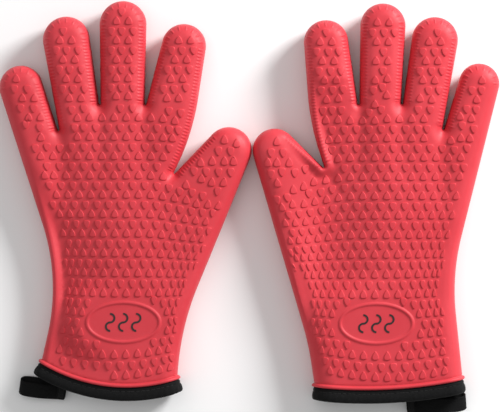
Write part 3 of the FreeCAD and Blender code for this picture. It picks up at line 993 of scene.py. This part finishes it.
class Shell:
    """A glove-shaped wall with an outer and an inner face, closed at the hem by a rim profile."""

    def __init__(self, spec, outer, inner, outer_points, inner_points, rim):
        self.spec = spec
        hem = outer.loops["hem"]
        start, normals = outer.points[hem], outer.normals[hem]
        outward = hem_outward(spec, start)
        rows = [start + outward * g + normals * n for g, n in rim]
        blocks = [outer_points, inner_points] + rows
        base = len(outer_points) + len(inner_points)
        self.points = np.vstack(blocks)
        self.points[base:, 2] = np.maximum(self.points[base:, 2], FLOOR_GAP)
        shift = len(outer_points)
        self.faces = {name: [] for name in ("palm",) + DIGITS}
        for face, owner in zip(outer.faces, outer.owners):
            self.faces[owner].append(tuple(face))
        for face, owner in zip(inner.faces, inner.owners):
            self.faces[owner].append(tuple(i + shift for i in reversed(face)))
        loops = [hem]
        for row in range(len(rows)):
            loops.append(list(range(base + row * len(hem), base + (row + 1) * len(hem))))
        loops.append([i + shift for i in inner.loops["hem"]])
        for k, (a, b) in enumerate(zip(loops, loops[1:])):
            self.faces["palm"] += strip(a, b, self.points, self.rim_facing(rim, k, outward, normals))
        every = [face for group in self.faces.values() for face in group]
        self.normals = vertex_normals(self.points, every)
        self.caps = {name: [] for name in ("palm",) + DIGITS}
        for name in DIGITS:
            axis = np.append(polar(spec["digits"][name][3]), 0.0)
            a, b = outer.loops[name], [i + shift for i in inner.loops[name]]
            self.caps["palm"] += strip(a, b, self.points, axis)
            self.caps[name] += strip(a, b, self.points, -axis)

    def rim_facing(self, rim, k, outward, normals):
        """Outward facing of one strip of the rim, a quarter turn from its run."""
        path = [(0.0, 0.0)] + list(rim) + [(0.0, rim[-1][1])]
        (g0, n0), (g1, n1) = path[k], path[k + 1]
        return outward * (n0 - n1) + normals * (g1 - g0)

    def build(self, name, piece_name):
        """Mesh object of one piece; its normals come from the whole shell, so no seam shows."""
        smooth, caps = self.faces[name], self.caps[name]
        faces = smooth + caps
        used, flat = np.unique(np.concatenate([np.array(f) for f in faces]), return_inverse=True)
        split = np.cumsum([len(f) for f in faces])[:-1]
        faces = [tuple(part.tolist()) for part in np.split(flat, split)]
        obj = mesh_object(piece_name, self.points[used], faces)
        loop_normals = self.normals[used][flat]
        smooth_loops = sum(len(f) for f in smooth)
        loop_normals[smooth_loops:] = 0.0
        obj.data.normals_split_custom_set(loop_normals.tolist())
        return obj


def mesh_object(name, points, faces):
    """New smooth object from glove millimetres."""
    mesh = bpy.data.meshes.new(name)
    mesh.from_pydata(to_frame(points).tolist(), [], faces)
    mesh.polygons.foreach_set("use_smooth", [True] * len(mesh.polygons))
    mesh.update()
    obj = bpy.data.objects.new(name, mesh)
    bpy.context.scene.collection.objects.link(obj)
    return obj


# ---- gloves ----
# Rim profiles: distance past the sheet's end, and height above the sheet's outside.
SKIN_RIM = ((0.4, -0.5), (0.9, 0.1), (1.3, 1.1), (1.9, 1.6), (2.6, 1.7), (3.3, 1.5), (3.8, 0.9), (4.0, 0.2),
            (4.0, -0.5), (3.6, -1.1), (2.8, -SKIN))
LINING_RIM = ((2.0, -1.7), (8.0, -1.7), (13.3, -1.8), (13.9, -2.7), (13.3, -3.6), (8.0, -3.7), (2.0, -3.7))


def glove(side):
    """Skin and lining of one glove; returns the points of the hem's path and their normals."""
    spec = GLOVES[side]
    surface = Surface(spec)
    outline = Outline(spec, STATION_SPACING, True)
    drops = drop_places(spec, surface, outline)
    outer = Skin(spec, surface, outline, FILL_SPACING, drops, True)
    inner = Skin(spec, surface, outline, INNER_SPACING, [], False)
    skin = Shell(spec, outer, inner, outer.with_relief(), inner.at_depth(SKIN), SKIN_RIM)
    plain = Outline(spec, INNER_SPACING, False)
    coarse = Skin(spec, surface, plain, INNER_SPACING, [], False)
    outside, inside = (coarse.at_depth(depth) for depth in LINING)
    lining = Shell(spec, coarse, coarse, outside, inside, LINING_RIM)
    for shell, word, ending, slot in ((skin, "shell", "_skin", "silicone"),
                                      (lining, "liner", "_lining", "lining")):
        for name in ("palm",) + DIGITS:
            piece = shell.build(name, side + "_" + name + ending)
            nodes = [side + "_" + name + "_" + word]
            if name == "palm":
                nodes.append(side + "_knuckles_" + word)
            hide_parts(*nodes)
            bend_piece(piece, side, name, outline.cuts)
            piece.data.materials.append(MATERIALS[slot])
    hem = outer.loops["hem"]
    return outer.points[hem], outer.normals[hem]


# Ends of the line that each palm bends about.
KNUCKLE_LINES = {"left": ((-198.0, 40.8), (-54.4, 51.9)), "right": ((197.0, 40.8), (57.0, 52.5))}


def bend_piece(piece, side, name, cuts):
    """Bake a piece's placement into its mesh; the bending axis worked out here is not used."""
    if name == "palm":
        (x1, y1), (x2, y2) = KNUCKLE_LINES[side]
        run = np.array((x2 - x1, y2 - y1, 0.0))
        axis = np.cross((0.0, 0.0, 1.0), run / np.linalg.norm(run))
        axis = axis if axis[1] > 0 else -axis
    else:
        flat = cuts[name]["axis"]
        axis = np.append(flat, 0.0)
    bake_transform(piece)


# ---- cuff trim ----
# Binding profile, clockwise: past the sheet's end, height above the sheet, share of the tape's puffing.
BINDING = ((1.6, -0.9, 0.0), (4.4, -0.5, 0.3), (5.6, 0.15, 1.0), (6.8, 0.2, 0.6), (7.45, -0.2, 0.0),
           (8.1, 0.2, 0.6), (9.6, 0.55, 1.0), (11.6, 0.55, 1.0), (13.6, 0.2, 1.0), (14.9, -0.6, 0.8),
           (15.5, -1.9, 0.6), (15.5, -3.4, 0.6), (14.9, -4.7, 0.8), (13.4, -5.4, 1.0), (10.5, -5.6, 1.0),
           (8.1, -5.3, 0.6), (7.45, -5.0, 0.0), (6.8, -5.3, 0.6), (4.4, -5.1, 0.5), (1.6, -4.7, 0.0),
           (1.6, -3.9, 0.0), (14.0, -3.8, 0.0), (14.5, -2.7, 0.0), (14.0, -1.6, 0.0), (1.6, -1.5, 0.0))
STITCH_ROW = 7.45
STITCH_PITCH = 4.0
STITCH_LENGTH = 2.4
STITCH_RADIUS = 0.38
FACING_UP_OR_DOWN = 0.8     # stitches stay off the binding's two tight ends
WEAVE_STEP = 1.1
GATHER_PITCH = 5.0
SLOW_PITCH = 23.0
LEAST_GATHER = 0.15
GATHER_START, GATHER_RUN = 30.0, 35.0       # distances from the oval's centre towards the thumb's end


def resample(points, normals, step):
    """Even places along a closed loop, with their normals and distances."""
    ahead = np.vstack((points, points[:1]))
    lengths = np.concatenate(((0.0,), np.cumsum(np.linalg.norm(np.diff(ahead, axis=0), axis=1))))
    count = int(lengths[-1] / step)
    at = np.arange(count) * lengths[-1] / count
    bent = np.vstack((normals, normals[:1]))
    places = np.column_stack([np.interp(at, lengths, ahead[:, k]) for k in range(3)])
    turned = np.column_stack([np.interp(at, lengths, bent[:, k]) for k in range(3)])
    return places, turned / np.linalg.norm(turned, axis=1)[:, None], at


def tube_faces(rows, count, closed=False):
    """Quads between rows of equal loops of points: a ring if closed, and capped at both ends if not."""
    faces = []
    for r in range(rows if closed else rows - 1):
        for i in range(count):
            j, q = (i + 1) % count, (r + 1) % rows
            faces.append((r * count + i, r * count + j, q * count + j, q * count + i))
    if not closed:
        faces += [tuple(reversed(range(count))), tuple(range((rows - 1) * count, rows * count))]
    return faces


def cuff_binding(side, hem_points, hem_normals):
    """Black tape folded round the end of the lining, a little puffed between its stitches."""
    spec = GLOVES[side]
    points, normals, at = resample(hem_points, hem_normals, WEAVE_STEP)
    outward = hem_outward(spec, points)
    thumb_end = (points[:, 0] - spec["oval_centre"][0]) * spec["thumb_side"]
    gather = np.clip((thumb_end - GATHER_START) / GATHER_RUN, 0.0, 1.0) * spec["gather"] + LEAST_GATHER
    turns = at * 2.0 * math.pi
    wave = np.sin(turns / GATHER_PITCH) * 0.5 + np.sin(turns / SLOW_PITCH + 1.0) * 0.25
    rows = []
    for g, n, puff in BINDING:
        rows.append(points + outward * (g + wave * puff * gather * 0.5)[:, None]
                    + normals * (n + wave * puff * gather)[:, None])
    rows = np.array(rows)
    rows[:, :, 2] = np.maximum(rows[:, :, 2], FLOOR_GAP)
    faces = tube_faces(len(BINDING), len(points), closed=True)
    if spec["thumb_side"] > 0:
        faces = [face[::-1] for face in faces]
    piece = mesh_object(side + "_binding_tape", rows.reshape(-1, 3), faces)
    dress(piece, "binding", side + "_hand", side + "_cuff_binding")
    binding_stitches(side, points, normals, outward, at)


def capsule(start, end, radius, rings=4, sides=10):
    """Points and faces of a short round-ended rod."""
    axis = end - start
    axis = axis / np.linalg.norm(axis)
    across = np.cross(axis, (0.0, 0.0, 1.0))
    if np.linalg.norm(across) < 0.1:
        across = np.cross(axis, (1.0, 0.0, 0.0))
    across /= np.linalg.norm(across)
    third = np.cross(axis, across)
    rows = []
    for centre, first, last in ((start, -90.0, 0.0), (end, 0.0, 90.0)):
        for lift in np.radians(np.linspace(first, last, rings)):
            size = max(math.cos(lift), 0.05) * radius
            turn = np.linspace(0.0, 2.0 * math.pi, sides, endpoint=False)[:, None]
            rows.append(centre + axis * math.sin(lift) * radius
                        + (across * np.cos(turn) + third * np.sin(turn)) * size)
    return np.vstack(rows), [face[::-1] for face in tube_faces(len(rows), sides)]


def joined(parts):
    """One set of points and faces from several."""
    points, faces, base = [], [], 0
    for part_points, part_faces in parts:
        points.append(part_points)
        faces += [tuple(i + base for i in face) for face in part_faces]
        base += len(part_points)
    return np.vstack(points), faces


def binding_stitches(side, points, normals, outward, at):
    """Running stitches that hold the binding, on both faces of the cuff."""
    row = points + outward * STITCH_ROW
    step = at[1]
    parts = []
    for number in range(int((at[-1] + step) / STITCH_PITCH)):
        first, last = (int(round((number * STITCH_PITCH + reach) / step)) % len(at)
                       for reach in (0.0, STITCH_LENGTH))
        if abs(normals[first][2]) > FACING_UP_OR_DOWN:
            parts.append(capsule(row[first], row[last], STITCH_RADIUS))
    piece = mesh_object(side + "_binding_thread", *joined(parts))
    dress(piece, "thread", side + "_hand", side + "_binding_stitches")


def dress(piece, slot, body, *nodes):
    """Give a piece its material and tell the frame what it rides on and replaces."""
    piece.data.materials.append(MATERIALS[slot])
    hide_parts(*nodes)
    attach(piece, body)


# ---- hanging loop: local X runs from the pivot to the fold, local Z is height above its floor ----
LOOP_PATH = ((-5.0, 3.3, 2.6), (2.0, 3.0, 3.0), (9.0, 1.7, 3.6), (18.0, 0.85, 4.0), (28.0, 0.75, 4.0),
             (34.5, 1.1, 3.6), (37.6, 2.3, 2.6), (38.4, 4.0, 1.4), (37.6, 5.7, 0.2), (34.5, 6.9, -0.8),
             (28.0, 7.25, -1.2), (18.0, 7.1, -1.2), (9.0, 6.2, -0.9), (2.0, 5.0, -0.5), (-5.0, 4.7, 0.0))
LOOP_WIDTH = 12.0
TAPE = 1.3
LOOP_FLOOR = 1.0
LOOP_HEIGHT = 8.0           # of the sewn root, above the loop's floor
ROOT_ENDS = (-9.5, -2.0)
ROOT_EXTRA = 3.0            # the root reaches this much further towards the binding
ROOT_SQUARENESS = 0.45      # power of the rounded block: 1 makes an ellipsoid, less makes it squarer
TACK_ENDS = (-3.6, -7.8)
TACK_START = -3.6
TACK_PITCH = 0.72
TACK_COUNT = 11
TACK_SKEW = 0.3
TACK_RADIUS = 0.36


def smooth_path(points, per_span):
    """Catmull-Rom curve through points."""
    p = np.array(points, float)
    p = np.vstack((2.0 * p[0] - p[1], p, 2.0 * p[-1] - p[-2]))
    out = []
    for i in range(1, len(p) - 2):
        for t in np.arange(per_span) / per_span:
            a, b, c, d = p[i - 1:i + 3]
            out.append(0.5 * (2.0 * b + (c - a) * t + (2.0 * a - 5.0 * b + 4.0 * c - d) * t ** 2
                              + (3.0 * b - a - 3.0 * c + d) * t ** 3))
    return np.array(out + [p[-2]])


def loop_frame(side, local):
    """Loop coordinates to glove millimetres."""
    spec = GLOVES[side]
    along = polar(spec["loop_direction"])
    across = np.array((-along[1], along[0]))
    plan = np.array(spec["loop_pivot"]) + local[:, :1] * along + local[:, 1:2] * across
    return np.column_stack((plan, local[:, 2] + LOOP_FLOOR))


def tape_section(width, thickness):
    """Rounded outline of a tape's cross-section: across and outwards, with a rolled selvedge."""
    half, rise = width / 2.0, thickness / 2.0
    top = [(-half, 0.0), (-half + 0.15, rise * 0.7), (-half + 0.7, rise * 1.1), (-half + 1.5, rise * 0.85)]
    top += [(share * half, rise) for share in (-0.55, -0.25, 0.0, 0.25, 0.55)]
    top += [(half - 1.5, rise * 0.85), (half - 0.7, rise * 1.1), (half - 0.15, rise * 0.7), (half, 0.0)]
    return np.array(top + [(x, -z) for x, z in reversed(top[1:-1])])


def hanging_loop(side):
    """Folded tape of the loop, from its sewn root and back to it."""
    towards_binding = -GLOVES[side]["thumb_side"]
    path = smooth_path(LOOP_PATH, 6)
    path[:, 0] *= GLOVES[side]["loop_reach"] / path[:, 0].max()
    tangent = np.gradient(path[:, :2], axis=0)
    tangent /= np.linalg.norm(tangent, axis=1)[:, None]
    section = tape_section(LOOP_WIDTH, TAPE)
    rows = []
    for (x, z, skew), (tx, tz) in zip(path, tangent):
        rows.append(np.column_stack((x + section[:, 1] * tz, section[:, 0] + skew * towards_binding,
                                     z - section[:, 1] * tx)))
    faces = tube_faces(len(rows), len(section))
    piece = mesh_object(side + "_loop_tape", loop_frame(side, np.vstack(rows)), faces)
    dress(piece, "binding", side + "_loop", side + "_hanging_loop")


def soft_block(low, high, power, count=26):
    """Points and faces of a rounded block between two corners."""
    low, high = np.array(low, float), np.array(high, float)
    centre, half = (low + high) / 2.0, (high - low) / 2.0
    rows = []
    for v in np.linspace(-math.pi / 2.0, math.pi / 2.0, count)[1:-1]:
        for u in np.linspace(-math.pi, math.pi, 2 * count, endpoint=False):
            direction = np.array((math.cos(v) * math.cos(u), math.cos(v) * math.sin(u), math.sin(v)))
            rows.append(centre + np.sign(direction) * np.abs(direction) ** power * half)
    return np.array(rows), tube_faces(count - 2, 2 * count)


def loop_root(side):
    """Sewn root of the loop, with its bar of close stitches."""
    thumb_side = GLOVES[side]["thumb_side"]
    half = LOOP_WIDTH / 2.0
    low_y, high_y = sorted((-(half + ROOT_EXTRA) * thumb_side, half * thumb_side))
    points, faces = soft_block((ROOT_ENDS[0], low_y, 0.1), (ROOT_ENDS[1], high_y, LOOP_HEIGHT - 0.3),
                               ROOT_SQUARENESS)
    piece = mesh_object(side + "_loop_root", loop_frame(side, points), faces)
    dress(piece, "binding", side + "_hand", side + "_loop_tab")
    parts = []
    height = LOOP_HEIGHT - 0.35
    for number in range(TACK_COUNT):
        y = TACK_START + number * TACK_PITCH
        ends = np.array(((TACK_ENDS[0], y, height), (TACK_ENDS[1], y + TACK_SKEW, height)))
        parts.append(capsule(*loop_frame(side, ends), TACK_RADIUS))
    piece = mesh_object(side + "_loop_bar_tack", *joined(parts))
    dress(piece, "thread", side + "_hand", side + "_loop_tack")


# ---- materials ----
def node_material(name):
    material = bpy.data.materials.new(name)
    material.use_nodes = True
    nodes, links = material.node_tree.nodes, material.node_tree.links
    return material, nodes, links, nodes["Principled BSDF"]


def object_space(nodes, links, scale):
    """Object coordinates in scale units per metre."""
    where = nodes.new("ShaderNodeTexCoord")
    mapping = nodes.new("ShaderNodeMapping")
    mapping.inputs["Scale"].default_value = (scale, scale, scale)
    links.new(where.outputs["Object"], mapping.inputs["Vector"])
    return mapping.outputs["Vector"]


def noise(nodes, links, vector, scale, detail=3.0):
    node = nodes.new("ShaderNodeTexNoise")
    node.inputs["Scale"].default_value = scale
    node.inputs["Detail"].default_value = detail
    links.new(vector, node.inputs["Vector"])
    return node.outputs["Fac"]


def ramp(nodes, links, value, stops):
    """Colours at positions, as (position, rgb)."""
    node = nodes.new("ShaderNodeValToRGB")
    while len(node.color_ramp.elements) < len(stops):
        node.color_ramp.elements.new(0.5)
    for element, (position, rgb) in zip(node.color_ramp.elements, stops):
        element.position = position
        element.color = (*rgb, 1.0)
    links.new(value, node.inputs["Fac"])
    return node.outputs["Color"]


def bump(nodes, links, height, distance, strength):
    node = nodes.new("ShaderNodeBump")
    node.inputs["Distance"].default_value = distance
    node.inputs["Strength"].default_value = strength
    links.new(height, node.inputs["Height"])
    return node.outputs["Normal"]


def silicone():
    """Satin coral silicone: faint cloudiness, fine mould grain, dusty roughness."""
    material, nodes, links, shader = node_material("coral_silicone")
    vector = object_space(nodes, links, 1.0)
    cloud = noise(nodes, links, vector, 26.0, 4.0)
    colour = ramp(nodes, links, cloud, ((0.3, (0.575, 0.034, 0.048)), (0.7, (0.635, 0.044, 0.060))))
    links.new(colour, shader.inputs["Base Color"])
    rough = nodes.new("ShaderNodeMapRange")
    links.new(noise(nodes, links, vector, 420.0, 2.0), rough.inputs["Value"])
    rough.inputs["To Min"].default_value = 0.44
    rough.inputs["To Max"].default_value = 0.60
    links.new(rough.outputs["Result"], shader.inputs["Roughness"])
    grain = noise(nodes, links, vector, 2600.0, 2.0)
    links.new(bump(nodes, links, grain, 0.00004, 0.5), shader.inputs["Normal"])
    shader.inputs["Subsurface Weight"].default_value = 0.06
    shader.inputs["Subsurface Radius"].default_value = (0.004, 0.001, 0.0008)
    shader.inputs["Specular IOR Level"].default_value = 0.34
    return material


def woven(name, dark, light, pitch, roughness, sheen, specular):
    """Cloth of crossed threads: two wave sets make the weave, and noise makes the fibres."""
    material, nodes, links, shader = node_material(name)
    vector = object_space(nodes, links, 1.0)
    threads = []
    for direction in ("X", "Y"):
        wave = nodes.new("ShaderNodeTexWave")
        wave.bands_direction = direction
        wave.inputs["Scale"].default_value = 1.0 / pitch
        wave.inputs["Distortion"].default_value = 1.2
        wave.inputs["Detail"].default_value = 2.0
        links.new(vector, wave.inputs["Vector"])
        threads.append(wave.outputs["Fac"])
    weave = nodes.new("ShaderNodeMath")
    weave.operation = "MAXIMUM"
    links.new(threads[0], weave.inputs[0])
    links.new(threads[1], weave.inputs[1])
    fibre = noise(nodes, links, vector, 900.0, 3.0)
    blend = nodes.new("ShaderNodeMath")
    blend.operation = "MULTIPLY"
    links.new(weave.outputs["Value"], blend.inputs[0])
    links.new(fibre, blend.inputs[1])
    colour = ramp(nodes, links, blend.outputs["Value"], ((0.15, dark), (0.65, light)))
    links.new(colour, shader.inputs["Base Color"])
    links.new(bump(nodes, links, blend.outputs["Value"], 0.0003, 0.55), shader.inputs["Normal"])
    shader.inputs["Roughness"].default_value = roughness
    shader.inputs["Sheen Weight"].default_value = sheen
    shader.inputs["Specular IOR Level"].default_value = specular
    return material


def print_ink():
    """Slightly worn black pad print."""
    material, nodes, links, shader = node_material("black_print")
    vector = object_space(nodes, links, 1.0)
    wear = noise(nodes, links, vector, 900.0, 4.0)
    colour = ramp(nodes, links, wear, ((0.4, (0.008, 0.006, 0.006)), (0.75, (0.03, 0.015, 0.016))))
    links.new(colour, shader.inputs["Base Color"])
    shader.inputs["Roughness"].default_value = 0.45
    return material


MATERIALS = {
    "silicone": silicone(),
    "lining": woven("black_cotton", (0.018, 0.018, 0.019), (0.075, 0.075, 0.078), 0.0016, 0.95, 0.25, 0.3),
    "binding": woven("black_twill", (0.002, 0.002, 0.002), (0.009, 0.009, 0.0095), 0.0011, 0.8, 0.02, 0.14),
    "thread": woven("black_thread", (0.004, 0.004, 0.004), (0.02, 0.02, 0.02), 0.0005, 0.7, 0.05, 0.2),
    "print": print_ink(),
}

for side in GLOVES:
    hem_points, hem_normals = glove(side)
    cuff_binding(side, hem_points, hem_normals)
    hanging_loop(side)
    loop_root(side)
    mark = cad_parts[side + "_print_mark"]
    for old in mark.material_slots:
        old.material = MATERIALS["print"]
    if not mark.material_slots:
        mark.data.materials.append(MATERIALS["print"])


# ---- floor, light and camera, in metres ----
FLOOR_REACH = 3.0
SENSOR_WIDTH = 36.0
CAMERA_HEIGHT = 2.5
VIEW_WIDTH = 0.425          # of the photograph, at the height of the gloves' middle


def floor():
    mesh = bpy.data.meshes.new("floor")
    corners = [(x * FLOOR_REACH, y * FLOOR_REACH, 0.0) for x, y in ((-1, -1), (1, -1), (1, 1), (-1, 1))]
    mesh.from_pydata(corners, [], [(0, 1, 2, 3)])
    obj = bpy.data.objects.new("floor", mesh)
    bpy.context.scene.collection.objects.link(obj)
    material, _, _, shader = node_material("pale_floor")
    shader.inputs["Base Color"].default_value = (0.92, 0.92, 0.92, 1.0)
    shader.inputs["Roughness"].default_value = 0.9
    mesh.materials.append(material)


def area_light(name, place, size, power):
    """Square light that looks at the origin."""
    light = bpy.data.lights.new(name, "AREA")
    light.energy = power
    light.size = size
    obj = bpy.data.objects.new(name, light)
    obj.location = place
    obj.rotation_euler = (-Vector(place)).to_track_quat("-Z", "Y").to_euler()
    bpy.context.scene.collection.objects.link(obj)


def camera():
    """Camera that looks straight down, as in the photograph."""
    data = bpy.data.cameras.new("camera")
    data.sensor_width = SENSOR_WIDTH
    data.lens = CAMERA_HEIGHT * SENSOR_WIDTH / VIEW_WIDTH
    obj = bpy.data.objects.new("camera", data)
    obj.location = (*to_frame((0.0, 0.0, 0.0))[:2], CAMERA_HEIGHT + HALF / 1000.0)
    bpy.context.scene.collection.objects.link(obj)
    bpy.context.scene.camera = obj


floor()
area_light("key", (1.35, 1.1, 0.8), 0.6, 53.0)
area_light("fill", (-0.6, 0.4, 1.8), 1.6, 5.0)
camera()
world = bpy.data.worlds.new("studio")
world.use_nodes = True
background = world.node_tree.nodes["Background"]
background.inputs["Color"].default_value = (1.0, 1.0, 1.0, 1.0)
background.inputs["Strength"].default_value = 0.45
bpy.context.scene.world = world
bpy.context.scene.view_settings.view_transform = "Standard"
